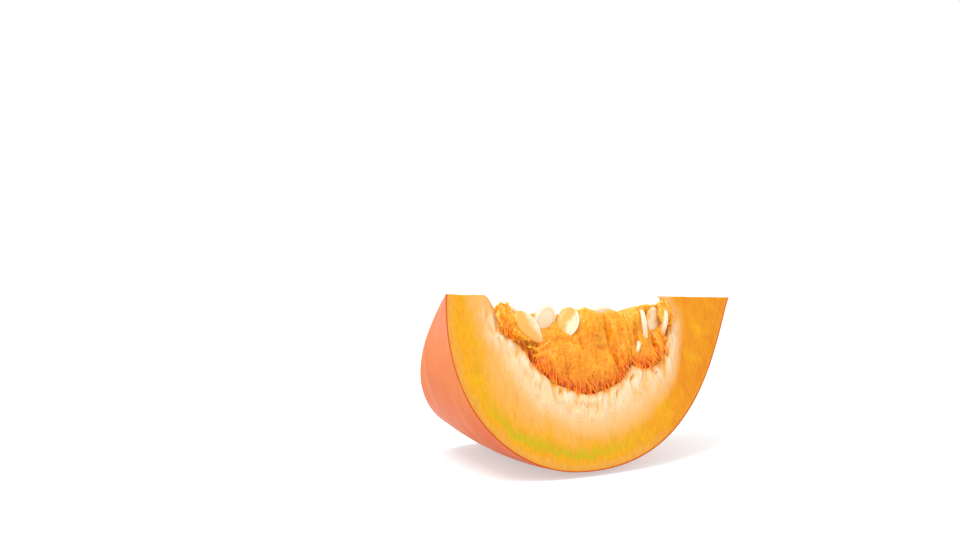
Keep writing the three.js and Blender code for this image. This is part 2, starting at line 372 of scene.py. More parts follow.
def flesh_slice(materials):
    rind = rind_line(ALONG_STEPS + 1)
    hollow = hollow_line(ALONG_STEPS + 1)
    corner = 4.5 * MM * np.exp(-hollow[:, 1] / (3.5 * MM)) * (hollow[:, 0] < 0)
    overhang = 3.4 * MM * np.exp(-hollow[:, 1] / (2.2 * MM)) * (hollow[:, 0] > 0)
    hollow = hollow + np.stack([overhang - corner, np.zeros_like(corner)], 1)
    rind_run = np.r_[0, np.cumsum(np.linalg.norm(np.diff(rind, axis=0), axis=1))]

    down = face_shares()
    back = np.linspace(1, -1, HOLLOW_STEPS + 1)[1:-1]
    fore = np.linspace(-1, 1, RIND_STEPS + 1)[1:-1]
    share = np.r_[down, np.ones_like(back), down[::-1], np.zeros_like(fore)]
    across = np.r_[np.ones_like(down), back, -np.ones_like(down), fore]
    loop = len(share)
    on_face = np.abs(across) == 1

    flat = rind[:, None] * (1 - share[:, None]) + hollow[:, None] * share[:, None]
    flat = flat.reshape(-1, 2)
    share_all = np.tile(share, ALONG_STEPS + 1)
    across_all = np.tile(across, ALONG_STEPS + 1)
    rind_run_all = np.repeat(rind_run, loop)
    on_face_all = np.tile(on_face, ALONG_STEPS + 1)

    gap = distance_to_line(flat, hollow)
    depth = distance_to_line(flat, rind)
    places = swept(flat[:, 0], flat[:, 1], across_all)
    off_axis = smoothstep(0.2 * MM, 5 * MM, flat[:, 1])

    tear = np.zeros(len(flat))
    for side, out in ((1, FRONT_OUT), (-1, REAR_OUT)):
        here = on_face_all & (across_all == side)
        sink, tear[here] = torn_face(flat[here, 0], flat[here, 1], gap[here], side)
        below_top = smoothstep(3 * MM, 12 * MM, flat[here, 1])
        sink = np.maximum(sink, 0) * (0.3 + 0.7 * below_top) * off_axis[here]
        tear[here] *= below_top
        swell = 0.35 * MM * grain(places[here], 30 * MM, 4) * smoothstep(0, 8 * MM, depth[here])
        places[here] -= out * (sink - (swell - 0.35 * MM) * off_axis[here])[:, None]

    on_rind = (share_all == 0) & ~on_face_all
    edge = 1 - np.abs(across_all[on_rind]) ** 6
    dent = (0.5 * (grain(places[on_rind], 45 * MM, 1) - 1) + 0.16 * grain(places[on_rind], 9 * MM, 2))
    outward = places[on_rind] * (0, 1, 1)
    outward /= np.linalg.norm(outward, axis=1)[:, None] + 1e-9
    places[on_rind] += outward * (MM * dent * edge * off_axis[on_rind])[:, None]

    in_hollow = (share_all == 1) & ~on_face_all
    places[in_hollow, 2] -= MM * 0.8 * rough(places[in_hollow], 6 * MM, 3) * off_axis[in_hollow]

    notch = grain(flat[:, :1] * (1, 0, 0), 7 * MM, 8)
    worn = 0.5 - 0.35 * smoothstep(40 * MM, 80 * MM, flat[:, 0])
    places[:, 2] -= MM * worn * (1 + notch) * (1 - smoothstep(0, 7 * MM, flat[:, 1]))

    places = to_row(places)
    low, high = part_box("flesh_and_rind")
    places = np.clip(places, np.array(low), np.array(high))

    rind_from = 2 * len(down) + len(back) - 1
    is_rind = np.tile(np.arange(loop) >= rind_from, ALONG_STEPS)

    layers = {
        "rind_depth": depth / MM,
        "hollow_gap": gap / MM,
        "along": flat[:, 0] / MM,
        "tear": tear,
        "cut_place": np.stack([flat[:, 0], flat[:, 1], 0.03 * across_all], -1),
        "rind_place": np.stack([rind_run_all, across_all * WEDGE_HALF * flat[:, 1], 0 * gap], -1),
    }
    piece = mesh_piece("flesh", places, bands(ALONG_STEPS, loop), materials, layers)
    piece.data.polygons.foreach_set("material_index", is_rind.astype(np.int32))
    close_up(piece)
    return piece


def cut_flesh():
    """Raw winter pumpkin flesh, cut with a knife: moist, finely grained and lit from within."""
    m = new_material("raw_pumpkin_flesh_knife_cut")
    depth = add(m, "Attribute", {"attribute_name": "rind_depth"}).outputs["Fac"]
    gap = add(m, "Attribute", {"attribute_name": "hollow_gap"}).outputs["Fac"]
    along = add(m, "Attribute", {"attribute_name": "along"}).outputs["Fac"]
    tear = add(m, "Attribute", {"attribute_name": "tear"}).outputs["Fac"]
    place = add(m, "Attribute", {"attribute_name": "cut_place"}).outputs["Vector"]

    # Soft streaks that run away from the axis, broad and fine, and cloudy patches.
    broad = add(m, "Mapping", {"Scale": bump_sizes(6.67, 23.8, 25)}, Vector=place)
    broad = add(m, "TexNoise", {"Scale": 1, "Detail": 4, "Distortion": 0.5}, Vector=broad)
    fine = add(m, "Mapping", {"Scale": bump_sizes(1.25, 5.26, 16.7)}, Vector=place)
    fine = add(m, "TexNoise", {"Scale": 1, "Detail": 4, "Distortion": 0.7}, Vector=fine)
    cloud = add(m, "TexNoise", {"Scale": bump_sizes(14.3), "Detail": 5}, Vector=place)

    wander = add(m, "Math", {"operation": "MULTIPLY_ADD", 1: 16.0, 2: -8.0}, _0=broad)
    near_rind = add(m, "MapRange", span(1.0, 8.0), Value=depth)
    shift = add(m, "Math", {"operation": "MULTIPLY"}, _0=wander, _1=near_rind)
    shifted = add(m, "Math", {"operation": "ADD"}, _0=depth, _1=shift)
    share = add(m, "Math", {"operation": "DIVIDE", 1: 46.0}, _0=shifted)
    belly = add(m, "ValToRGB", {"stops": (
        (0.0, "#C8501C"), (0.012, "#D86A2A"), (0.022, "#EDA852"), (0.07, "#F0AE54"),
        (0.16, "#F4AC3C"), (0.3, "#F5AF48"), (0.42, "#F9B55A"), (0.62, "#FBBD72"),
        (0.82, "#FED29C"), (1.0, "#FFDCAC"))}, _0=share)
    stem = add(m, "ValToRGB", {"stops": (
        (0.0, "#C8501C"), (0.012, "#D86A2A"), (0.024, "#F0A04A"), (0.07, "#EC9420"),
        (0.4, "#F29A1C"), (0.7, "#F4A22C"), (0.86, "#FAB450"), (1.0, "#FFC87C"))}, _0=share)
    to_stem = add(m, "MapRange", span(46.0, 84.0), Value=along)
    colour = add(m, "Mix", {"data_type": "RGBA"}, _0=to_stem, _6=belly, _7=stem)

    mottle = add(m, "ValToRGB", {"stops": ((0.48, "#000000"), (0.66, "#FFFFFF"))}, _0=broad)
    mottle = add(m, "Math", {"operation": "MULTIPLY"}, _0=mottle, _1=to_stem)
    mottle = add(m, "Math", {"operation": "MULTIPLY", 1: 0.6}, _0=mottle)
    colour = add(m, "Mix", {"data_type": "RGBA", 7: linear("#E8851A")}, _0=mottle, _6=colour.outputs[2])

    yellow = add(m, "ValToRGB", {"stops": ((0.46, "#000000"), (0.66, "#FFFFFF"))}, _0=cloud)
    outer = add(m, "ValToRGB", {"stops": (
        (0.06, "#000000"), (0.16, "#FFFFFF"), (0.3, "#FFFFFF"), (0.5, "#000000"))}, _0=share)
    patch = add(m, "Math", {"operation": "MULTIPLY"}, _0=yellow, _1=outer)
    patch = add(m, "Math", {"operation": "MULTIPLY", 1: 0.6}, _0=patch)
    golden = add(m, "Mix", {"data_type": "RGBA", 7: linear("#F9B41C")}, _0=patch, _6=colour.outputs[2])

    ring = add(m, "ValToRGB", {"stops": (
        (0.15, "#000000"), (0.22, "#FFFFFF"), (0.27, "#D8D8D8"), (0.37, "#000000"))}, _0=share)
    ring_from = add(m, "MapRange", span(-56.0, -38.0), Value=along)
    ring_to = add(m, "MapRange", span(48.0, 12.0), Value=along)
    ends = add(m, "Math", {"operation": "MULTIPLY"}, _0=ring_from, _1=ring_to)
    patchy = add(m, "MapRange", span(0.3, 0.62, 0.25, 1.0), Value=fine)
    ends = add(m, "Math", {"operation": "MULTIPLY"}, _0=ends, _1=patchy)
    green = add(m, "Math", {"operation": "MULTIPLY"}, _0=ring, _1=ends)
    greened = add(m, "Mix", {"data_type": "RGBA", 7: linear("#C3BA30")}, _0=green, _6=golden.outputs[2])

    # Near the hollow the flesh is torn into pale fibres, deeper orange between them: partly the flesh's
    # own tone, partly painted shade in the sunk pits.
    torn = add(m, "Math", {"operation": "MULTIPLY_ADD", 1: 0.5, 2: 0.0}, _0=fine, _2=tear)
    fibre_and_pit_shade_tone = add(m, "ValToRGB", {"stops": (
        (0.0, "#FFF0D4"), (0.22, "#FFE4BE"), (0.45, "#FFD298"), (0.7, "#FAB466"),
        (1.0, "#F09440"))}, _0=torn)
    wide = add(m, "MapRange", span(82.0, 58.0, 8.0, 22.0), Value=along)
    narrow = add(m, "MapRange", span(-36.0, 4.0, 0.54, 1.0), Value=along)
    wide = add(m, "Math", {"operation": "MULTIPLY"}, _0=wide, _1=narrow)
    near = add(m, "Math", {"operation": "DIVIDE"}, _0=gap, _1=wide)
    near = add(m, "MapRange", span(1.25, 0.1, end=0.95), Value=near)
    down = add(m, "SeparateXYZ", Vector=place).outputs["Y"]
    lower = add(m, "MapRange", span(5 * MM, 20 * MM, 0.3, 1.0), Value=down)
    near = add(m, "Math", {"operation": "MULTIPLY"}, _0=near, _1=lower)
    fibred = add(m, "Mix", {"data_type": "RGBA"}, _0=near, _6=greened.outputs[2], _7=fibre_and_pit_shade_tone)
    lip = add(m, "MapRange", span(3.0, 0.2, end=0.75), Value=gap)
    fibred = add(m, "Mix", {"data_type": "RGBA", 7: linear("#FBB460")}, _0=lip, _6=fibred.outputs[2])

    light = add(m, "MapRange", span(0.25, 0.75, 0.67, 0.84), Value=fine)
    toned = add(m, "HueSaturation", {"Saturation": 1.06}, Value=light, Color=fibred.outputs[2])
    height = add(m, "Math", {"operation": "MULTIPLY_ADD", 2: 0.0}, _0=fine, _1=near)
    height = add(m, "Math", {"operation": "MULTIPLY_ADD", 1: 0.22}, _0=fine, _2=height)
    bump = add(m, "Bump", {"Strength": 0.55, "Distance": 0.8 * MM}, Height=height)
    shine = add(m, "MapRange", span(0.0, 1.0, 0.36, 0.58), Value=cloud)
    finish_material(m, toned, bump, shine, IOR=1.36,
                    Specular_IOR_Level=0.4, Subsurface_Weight=0.2, Subsurface_Scale=3 * MM,
                    Subsurface_Radius=(1.0, 0.45, 0.12))
    return m


def smooth_rind():
    """Ripe winter pumpkin rind: a thin waxy skin, coral with faint paler streaks end to end. Towards
    the top it is lighter and pinker, partly its own tone and partly painted light, and towards the
    floor it is darker, in painted shade.
    """
    m = new_material("ripe_pumpkin_rind_waxy")
    place = add(m, "Attribute", {"attribute_name": "rind_place"}).outputs["Vector"]
    spot = add(m, "TexCoord").outputs["Object"]
    stretched = add(m, "Mapping", {"Scale": bump_sizes(62.5, 4.76, 1000)}, Vector=place)
    streaks = add(m, "TexNoise", {"Scale": 1, "Detail": 5, "Distortion": 0.6}, Vector=stretched)
    blotch = add(m, "TexNoise", {"Scale": bump_sizes(29.4), "Detail": 4}, Vector=spot)
    # Painted light and shade: the colour runs from dark at the floor to lighter and pinker at the top,
    # as the overhead light falls.
    up = add(m, "SeparateXYZ", Vector=spot).outputs["Z"]
    height_for_painted_light = add(m, "Math", {"operation": "MULTIPLY_ADD", 1: 0.03, 2: -0.015}, _0=blotch)
    height_for_painted_light = add(m, "Math", {"operation": "ADD"}, _0=up, _1=height_for_painted_light)
    tall = add(m, "MapRange", span(0.0, 0.1), Value=height_for_painted_light)
    base = add(m, "ValToRGB", {"stops": (
        (0.0, "#DE5E22"), (0.25, "#E86218"), (0.5, "#F07824"), (0.78, "#F3864C"),
        (1.0, "#EF8F7C"))}, _0=tall)
    pale = add(m, "ValToRGB", {"stops": ((0.46, "#000000"), (0.7, "#FFFFFF"))}, _0=streaks)
    amount = add(m, "Math", {"operation": "MULTIPLY", 1: 0.4}, _0=pale)
    streaked = add(m, "Mix", {"data_type": "RGBA", 7: linear("#F8A468")}, _0=amount, _6=base)
    deep = add(m, "ValToRGB", {"stops": ((0.3, "#FFFFFF"), (0.48, "#000000"))}, _0=blotch)
    deep = add(m, "Math", {"operation": "MULTIPLY", 1: 0.35}, _0=deep)
    mottled = add(m, "Mix", {"data_type": "RGBA", 7: linear("#E2541F")}, _0=deep,
                  _6=streaked.outputs[2])
    toned = add(m, "HueSaturation", {"Value": 0.8}, Color=mottled.outputs[2])
    fine = add(m, "TexNoise", {"Scale": bump_sizes(2.38), "Detail": 3}, Vector=spot)
    height = add(m, "Math", {"operation": "MULTIPLY_ADD", 1: 0.4}, _0=fine, _2=streaks)
    bump = add(m, "Bump", {"Strength": 0.1, "Distance": 0.8 * MM}, Height=height)
    shine = add(m, "MapRange", span(0.0, 1.0, 0.36, 0.52), Value=blotch)
    finish_material(m, toned, bump, shine, IOR=1.42,
                    Specular_IOR_Level=0.25, Subsurface_Weight=0.1, Subsurface_Scale=2 * MM,
                    Subsurface_Radius=(1.0, 0.35, 0.15))
    return m


# ---- seeds ----

SEED_NODES = [f"seed_{number:02d}" for number in range(1, 15)]
SEED_TURN_STEPS = 60
# Height of a seed's face from its middle (0) to its edge (1), as a share of half its
# thickness: a low dome, a shallow groove and a rounded rim.
SEED_PROFILE = [(0.0, 1.0), (0.3, 0.98), (0.55, 0.93), (0.72, 0.84), (0.82, 0.73), (0.87, 0.72),
                (0.91, 0.72), (0.95, 0.6), (0.985, 0.36), (1.0, 0.0)]
# The orange skin of the pulp over one side of a seed: where it starts and where it is whole,
# in half widths of the seed from its middle.
VEILS = {"seed_01": (0.7, -0.1), "seed_03": (0.35, -0.15), "seed_06": (-0.5, -1.1),
         "seed_09": (0.0, -0.7), "seed_13": (0.1, -0.6)}


def seed_seat(node):
    """A seed's middle, its own axes (width, length, thickness) and half sizes, from the frame."""
    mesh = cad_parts[node].data
    corners = np.array([v.co for v in mesh.vertices])
    weights = np.array([face.area for face in mesh.polygons])
    centres = np.array([face.center for face in mesh.polygons])
    middle = (centres * weights[:, None]).sum(0) / weights.sum()
    spread = (centres - middle).T @ ((centres - middle) * weights[:, None])
    _, axes = np.linalg.eigh(spread)
    thin, wide, long = axes[:, 0], axes[:, 1], axes[:, 2]
    centred = corners - middle
    along = centred @ long
    across = np.abs(centred @ wide)
    reach = np.abs(along).max()
    if across[along > 0.6 * reach].max() < across[along < -0.6 * reach].max():
        long = -long
    if thin @ np.array([0, -1, 0]) < 0:
        thin = -thin
    wide = np.cross(long, thin)
    axes = np.stack([wide, long, thin])
    local = centred @ axes.T
    offset = (local.max(0) + local.min(0)) / 2
    return middle + offset @ axes, axes, (local.max(0) - local.min(0)) / 2


def seed_edge():
    """A seed's edge from its round end and back to it, for half sizes of one."""
    side = [bezier((0, 1), (0.56, 1), (1, 0.66), (1, 0.16), 60),
            bezier((1, 0.16), (1, -0.34), (0.34, -0.82), (0, -1), 60)[1:]]
    right = np.vstack(side)
    left = right[::-1][1:-1] * (-1, 1)
    edge = np.vstack([right, left, right[:1]])
    return evenly(edge, SEED_TURN_STEPS + 1)[:-1]


def seed_piece(node, material, seed):
    middle, axes, (wide, long, thick) = seed_seat(node)
    edge = seed_edge()
    rings = np.array([0.12, 0.24, 0.36, 0.48, 0.58, 0.66, 0.72, 0.765, 0.8, 0.835, 0.87, 0.9,
                      0.93, 0.955, 0.975, 0.99])
    heights = np.interp(rings, *zip(*SEED_PROFILE))
    share = np.r_[rings, 1.0, rings[::-1]]
    height = np.r_[heights, 0.0, -heights[::-1]]
    local = []
    for ring, tall in zip(share, height):
        core = edge * ring + np.array([0, 0.05]) * (1 - ring)
        local.append(np.stack([core[:, 0] * wide, core[:, 1] * long,
                               np.full(len(edge), tall * thick)], -1))
    local = np.vstack(local + [[[0, 0.05 * long, 0.98 * thick]], [[0, 0.05 * long, -0.98 * thick]]])
    wobble = grain(local, 7 * MM, 20 + seed) * 0.16 * MM
    local[:, 2] += wobble * (1 - np.abs(local[:, 1]) / long * 0.5)
    bow = 0.35 * MM * ((seed % 3) - 1)
    local[:, 2] += bow * ((local[:, 1] / long) ** 2 - 0.4)

    n, rows = SEED_TURN_STEPS, len(share)
    faces = list(bands(rows - 1, n))
    top, last = rows * n, (rows - 1) * n
    for k in range(n):
        after = (k + 1) % n
        faces += [(top, after, k), (top + 1, last + k, last + after)]

    start, end = VEILS.get(node, (-1.6, -2.4))
    lean = local[:, 0] / wide - 0.35 * local[:, 1] / long + 0.45 * rough(local, 6 * MM, 40 + seed)
    veil = 1 - smoothstep(end, start, lean)
    foot = 1 - smoothstep(-1.0, -0.45, local[:, 1] / long + 0.25 * rough(local, 5 * MM, 60 + seed))
    layers = {
        "ring": np.r_[np.repeat(share, n), 0, 0],
        "veil": np.clip(np.maximum(veil, foot), 0, 1),
        "seed_place": local,
    }
    piece = mesh_piece(node + "_coat", middle + local @ axes, faces, [material], layers)
    close_up(piece)
    return piece


def seed_coat():
    """A fresh pumpkin seed's coat: thin, smooth and cream white, still wet from the pulp."""
    m = new_material("fresh_pumpkin_seed_coat")
    ring = add(m, "Attribute", {"attribute_name": "ring"}).outputs["Fac"]
    veil = add(m, "Attribute", {"attribute_name": "veil"}).outputs["Fac"]
    place = add(m, "Attribute", {"attribute_name": "seed_place"}).outputs["Vector"]
    # Tone from the seed's middle to its edge: the darker stop at 0.79 is painted shade in the groove
    # inside the rim.
    tone = add(m, "ValToRGB", {"stops": (
        (0.0, "#F6DDB6"), (0.6, "#F8E2BF"), (0.79, "#F1D3A8"), (0.88, "#FDF1DC"),
        (0.96, "#FBEACB"), (1.0, "#EFD2A6"))}, _0=ring)
    mottle = add(m, "TexNoise", {"Scale": bump_sizes(3.85), "Detail": 3}, Vector=place)
    shade = add(m, "MapRange", span(0.0, 1.0, 0.84, 0.98), Value=mottle)
    toned = add(m, "HueSaturation", {}, Value=shade, Color=tone)
    film = add(m, "Math", {"operation": "MULTIPLY", 1: 0.92}, _0=veil)
    veiled = add(m, "Mix", {"data_type": "RGBA", 7: linear("#F4A030")}, _0=film, _6=toned)
    stretched = add(m, "Mapping", {"Scale": bump_sizes(0.385, 2, 2)}, Vector=place)
    lines = add(m, "TexNoise", {"Scale": 1, "Detail": 2}, Vector=stretched)
    bump = add(m, "Bump", {"Strength": 0.1, "Distance": 0.3 * MM}, Height=lines)
    finish_material(m, veiled.outputs[2], bump, Roughness=0.33, IOR=1.45,
                    Subsurface_Weight=0.2, Subsurface_Scale=2 * MM,
                    Subsurface_Radius=(1.0, 0.7, 0.45), Coat_Weight=0.25, Coat_Roughness=0.15)
    return m


# ---- pulp ----

PULP_VOXEL = 0.6 * MM
# The pulp's top edge on each cut, for each lobe: along the axis and down from it, in mm.
FRONT_TOP = [(-34, 11), (-32, 6), (-28, 5), (-25, 9), (-22, 15), (-17, 17), (-6, 19), (3, 16),
             (8, 15), (13, 16), (16, 11), (18, 8.6), (21, 8.8), (23.5, 6.4), (26, 8.6), (29, 9),
             (31, 11.5), (34, 11), (38, 9.6), (43, 8.8), (46, 11), (49, 12)]
REAR_TOP = [(-34, 10), (-28, 8), (-20, 12), (-10, 14), (0, 11), (10, 13), (20, 10), (30, 12),
            (38, 9), (48, 11)]
STEM_FRONT_TOP = [(47, 13), (51, 10), (55, 7.4), (60, 5.2), (66, 4.4), (70, 4.6), (74, 4.4), (81, 4.4)]
STEM_REAR_TOP = [(47, 11), (56, 8), (66, 9), (74, 6.5), (79, 8)]


def domes(flat, bumps):
    """The sum of rounded bumps: (along, down, half length, half depth, height), all in mm."""
    total = np.zeros(len(flat))
    for x, r, half_x, half_r, height in bumps:
        away = ((flat[:, 0] / MM - x) / half_x) ** 2 + ((flat[:, 1] / MM - r) / half_r) ** 2
        total += height * np.exp(-away * 1.4)
    return total * MM


# Sacs and hollows of the pulp's faces: along, down, half length, half depth and height, in mm.
FRONT_LUMPS = [(-14, 36, 5, 8, -4.5), (-19, 28, 5, 5, -3), (-8, 47, 3, 6, -2), (-13, 22, 5, 8, -3),
               (-2, 15, 8, 7, -8), (11, 16, 6, 7, -4), (-1, 38, 6, 9, 3.4), (12, 37, 9, 10, 4.2),
               (25, 17, 8, 9, 3.6), (21, 44, 8, 8, 2.6), (33, 42, 4, 9, 2.4), (40, 20, 4, 10, 2.6),
               (44, 34, 3, 9, 2), (36, 24, 1.6, 12, -3.4), (31, 32, 5, 2.4, -1.8),
               (4, 27, 9, 2.5, -1.6), (38.5, 40, 1.6, 10, -2.8), (5.5, 45, 1.8, 7, -1.8),
               (-29, 15, 4, 10, 1.6), (17, 27, 2, 9, -1.4), (47.5, 26, 2, 14, 1.6)]
REAR_LUMPS = [(-15, 30, 9, 10, 3.2), (0, 40, 7, 10, 3.4), (17, 38, 7, 11, 3), (36, 30, 8, 12, 3.4),
              (-7, 42, 2, 9, -4), (9, 28, 2, 12, -4), (27, 26, 2, 12, -4), (-28, 16, 5, 9, 1)]
STEM_FRONT_LUMPS = [(55, 13, 5, 7, 3.6), (58, 27, 3.4, 8, 1.4), (62, 36, 5, 5, 2), (70, 33, 3.5, 6, 2),
                    (65.5, 27, 1.6, 9, -3.2), (72.5, 17, 3, 8, -1.5), (64.5, 12, 1.8, 7, -1.6),
                    (68.5, 13, 5.5, 9, -5.5), (51, 22, 2, 12, 1.4), (54, 24, 1.3, 10, -1.8)]
STEM_REAR_LUMPS = [(56, 22, 4, 10, 3), (68, 26, 5, 12, 3), (61.5, 24, 1.8, 12, -3.4)]


def pulp_core(line, tops, lumps, seed, steps):
    """A closed body between the hollow's line and the pulp's top, with lumpy front and rear.

    Steps are how many faces it has along the hollow and down from its top.
    """
    along, down = steps
    under = evenly(line, along + 1)
    share = np.linspace(0, 1, down + 1)
    faces_at = {}
    for side, top, bumps, out in zip((1, -1), tops, lumps, (FRONT_OUT, REAR_OUT)):
        xs, rs = zip(*top)
        upper_x = np.linspace(under[0, 0], under[-1, 0], along + 1)
        upper = np.stack([upper_x, np.interp(upper_x / MM, xs, rs) * MM], 1)
        flat = under[:, None] * (1 - share[:, None]) + upper[:, None] * share[:, None]
        flat = flat.reshape(-1, 2)
        gap = distance_to_line(flat, under)
        fringe = grain(np.stack([flat[:, 0] / (2.6 * MM), flat[:, 1] / (9 * MM),
                                 np.full(len(flat), 5.0 * seed + side)], -1), 1)
        raised = domes(flat, bumps) - 1.2 * MM
        raised -= (2.4 + 3.2 * fringe) * MM * (1 - smoothstep(0, 6 * MM, gap))
        half_width = flat[:, 1] * math.sin(WEDGE_HALF)
        raised = np.maximum(raised, -half_width * 0.8)
        faces_at[side] = swept(flat[:, 0], flat[:, 1], np.full(len(flat), side)) + out * raised[:, None]
    front = faces_at[1].reshape(along + 1, down + 1, 3)
    rear = faces_at[-1].reshape(along + 1, down + 1, 3)

    across = 7
    over = [front[:, -1] * (1 - t) + rear[:, -1] * t for t in np.linspace(0, 1, across + 1)[1:-1]]
    wide = np.linalg.norm(rear[:, 0] - front[:, 0], axis=1)[:, None]
    sag = np.array([0, 0, -0.03])
    beneath = [rear[:, 0] * (1 - t) + front[:, 0] * t + sag * math.sin(math.pi * t) * wide
               for t in np.linspace(0, 1, across + 1)[1:-1]]
    loop = np.concatenate([front, np.stack(over, 1), rear[:, ::-1], np.stack(beneath, 1)], 1)
    count = loop.shape[1]
    return loop.reshape(-1, 3), bands(along, count)


def string_tube(path, radius, seed):
    """A tapering, wavering string of pulp along a path, with round ends."""
    sides, steps = 8, 22
    line = smooth_line(path, steps)
    line = line + grain_vectors(line, 6 * MM, seed) * 0.5 * MM
    run = np.linspace(0, 1, steps)
    thick = radius * np.sqrt(np.clip(1 - (2 * run - 1) ** 6, 0.02, 1)) * (1.15 - 0.5 * run)
    ahead = np.gradient(line, axis=0)
    ahead /= np.linalg.norm(ahead, axis=1)[:, None]
    side = np.cross(ahead, (0.3, 0.2, 0.93))
    side /= np.linalg.norm(side, axis=1)[:, None]
    up = np.cross(ahead, side)
    turn = np.linspace(0, 2 * math.pi, sides, endpoint=False)
    ring = side[:, None] * np.cos(turn)[:, None] + up[:, None] * np.sin(turn)[:, None]
    places = (line[:, None] + ring * thick[:, None, None]).reshape(-1, 3)
    last = (steps - 1) * sides
    return places, [*bands(steps - 1, sides), range(sides)[::-1], range(last, last + sides)]


def on_front(along, down, out):
    """A place on the front cut, in mm along the axis, down from it and out of the cut."""
    return swept(along * MM, down * MM, 1.0) + FRONT_OUT * out * MM


def join_parts(name, parts):
    places, faces, start = [], [], 0
    for part_places, part_faces in parts:
        places.append(part_places)
        faces += [tuple(int(i) + start for i in face) for face in part_faces]
        start += len(part_places)
    return mesh_piece(name, np.vstack(places), faces, [])


def as_plain_mesh(piece):
    """The piece with its modifiers worked into its mesh."""
    bpy.context.view_layer.update()
    made = bpy.data.meshes.new_from_object(piece.evaluated_get(bpy.context.evaluated_depsgraph_get()))
    piece.modifiers.clear()
    old = piece.data
    piece.data = made
    bpy.data.meshes.remove(old)


def mesh_arrays(mesh):
    places = np.empty(len(mesh.vertices) * 3)
    mesh.vertices.foreach_get("co", places)
    normals = np.empty(len(mesh.vertices) * 3)
    mesh.vertex_normals.foreach_get("vector", normals)
    edges = np.empty(len(mesh.edges) * 2, np.int32)
    mesh.edges.foreach_get("vertices", edges)
    return places.reshape(-1, 3), normals.reshape(-1, 3), edges.reshape(-1, 2)


def eased(values, edges, rounds):
    """Each value moved towards the mean of its neighbours, over and over."""
    count = np.bincount(edges.ravel(), minlength=len(values)).astype(float)
    count[count == 0] = 1
    for _ in range(rounds):
        total = np.zeros_like(values)
        np.add.at(total, edges[:, 0], values[edges[:, 1]])
        np.add.at(total, edges[:, 1], values[edges[:, 0]])
        share = count if values.ndim == 1 else count[:, None]
        values = 0.4 * values + 0.6 * total / share
    return values


def to_fruit(places):
    """Row places back in the fruit's own frame: along the axis, away from it, and sideways."""
    own = (np.asarray(places) - SLICE_PLACE) @ SLICE_TURN
    return own[:, 0], np.hypot(own[:, 1], own[:, 2]), own[:, 1]


def melt(name, parts, material, seed):
    """Melts parts into one body of wet pulp, softly lumpy, with furrows towards its lower edge."""
    piece = join_parts(name, parts)
    close_up(piece)
    remesh = piece.modifiers.new("melt", "REMESH")
    remesh.mode = "VOXEL"
    remesh.voxel_size = PULP_VOXEL
    as_plain_mesh(piece)
    mesh = piece.data
    places, normals, edges = mesh_arrays(mesh)
    places = eased(places, edges, 2)
    along, away, _ = to_fruit(to_row(places))
    gap = distance_to_line(np.stack([along, away], 1), hollow_line(300))
    low = 1 - smoothstep(2 * MM, 17 * MM, gap)

    bend = along + 2.5 * MM * grain(places, 9 * MM, seed + 2)
    furrow = np.stack([bend / (1.9 * MM), away / (8 * MM), places[:, 1] / (5 * MM)], -1)
    thread = np.stack([bend / (0.9 * MM), away / (5 * MM), places[:, 1] / (2 * MM)], -1)
    lump = rough(places, 6.5 * MM, seed)
    curd = 1 - 2.2 * np.abs(grain(places, 3 * MM, seed + 7))
    ridged = 1 - 2 * np.abs(grain(furrow, 1, seed + 3))
    fine = grain(thread, 1, seed + 5)
    raised = (0.5 * lump + 0.3 * curd * (1 - 0.6 * low) + (0.12 + 0.55 * low) * ridged
              + (0.08 + 0.16 * low) * fine)
    places = places + normals * (MM * raised)[:, None]
    mesh.vertices.foreach_set("co", to_row(places).ravel())
    mesh.update()

    places, normals, edges = mesh_arrays(mesh)
    # How far each place lies below its smoothed surroundings, the depth of its fold, kept for painted
    # shade in the pulp's colour.
    wide = eased(places, edges, 24)
    near = eased(places, edges, 5)
    crevice = ((wide - places) * normals).sum(1) / MM + 1.8 * ((near - places) * normals).sum(1) / MM
    along, away, _ = to_fruit(places)
    add_layers(mesh, {"crevice": crevice, "hollow_gap": gap / MM, "down": away / MM})
    mesh.materials.clear()
    mesh.materials.append(material)
    smooth_faces(mesh)
    return piece


def egg(middle, radii):
    """A soft egg of pulp on the front cut, with its length away from the axis."""
    along, down, out = middle
    places, rings, sides = [], 14, 18
    for ring in np.linspace(0, math.pi, rings):
        for turn in np.linspace(0, 2 * math.pi, sides, endpoint=False):
            long = math.cos(ring) * radii[1]
            wide = math.sin(ring) * math.cos(turn) * radii[0]
            thick = math.sin(ring) * math.sin(turn) * radii[2]
            places.append(on_front(along + wide, down - long, out + thick))
    return np.array(places), bands(rings - 1, sides)


def tuft_strings():
    """The tuft that stands against the blossom end's wall, and loose strings below it."""
    paths = []
    for k, rise in enumerate((-3, 1.4, 3.6, -1.2, 0.8, 3.4, -0.6, 1.8, -2.4)):
        foot = -21 - 1.3 * k
        paths.append(([on_front(foot + 1, 27 - 0.8 * k, -1.5), on_front(foot - 1.5, 17 - 0.4 * k, 0.4),
                       on_front(-24 - 1.15 * k, 7.4 - rise, -0.6)], (1.35 - 0.05 * k) * MM))
    paths.append(([on_front(-25, 22, 0), on_front(-20, 26, 0.8), on_front(-16.5, 28, 0.4)], 1.4 * MM))
    paths.append(([on_front(-12, 33, -3), on_front(-7, 31, -0.5), on_front(-3, 27.5, 1)], 0.9 * MM))
    paths.append(([on_front(-14, 36, -4), on_front(-8, 35.5, -1.5), on_front(-5, 32, 0)], 0.8 * MM))
    paths.append(([on_front(-17, 30, -3), on_front(-11, 32.5, -2), on_front(-8, 37, -1)], 0.7 * MM))
    return [string_tube(path, radius, k) for k, (path, radius) in enumerate(paths)]


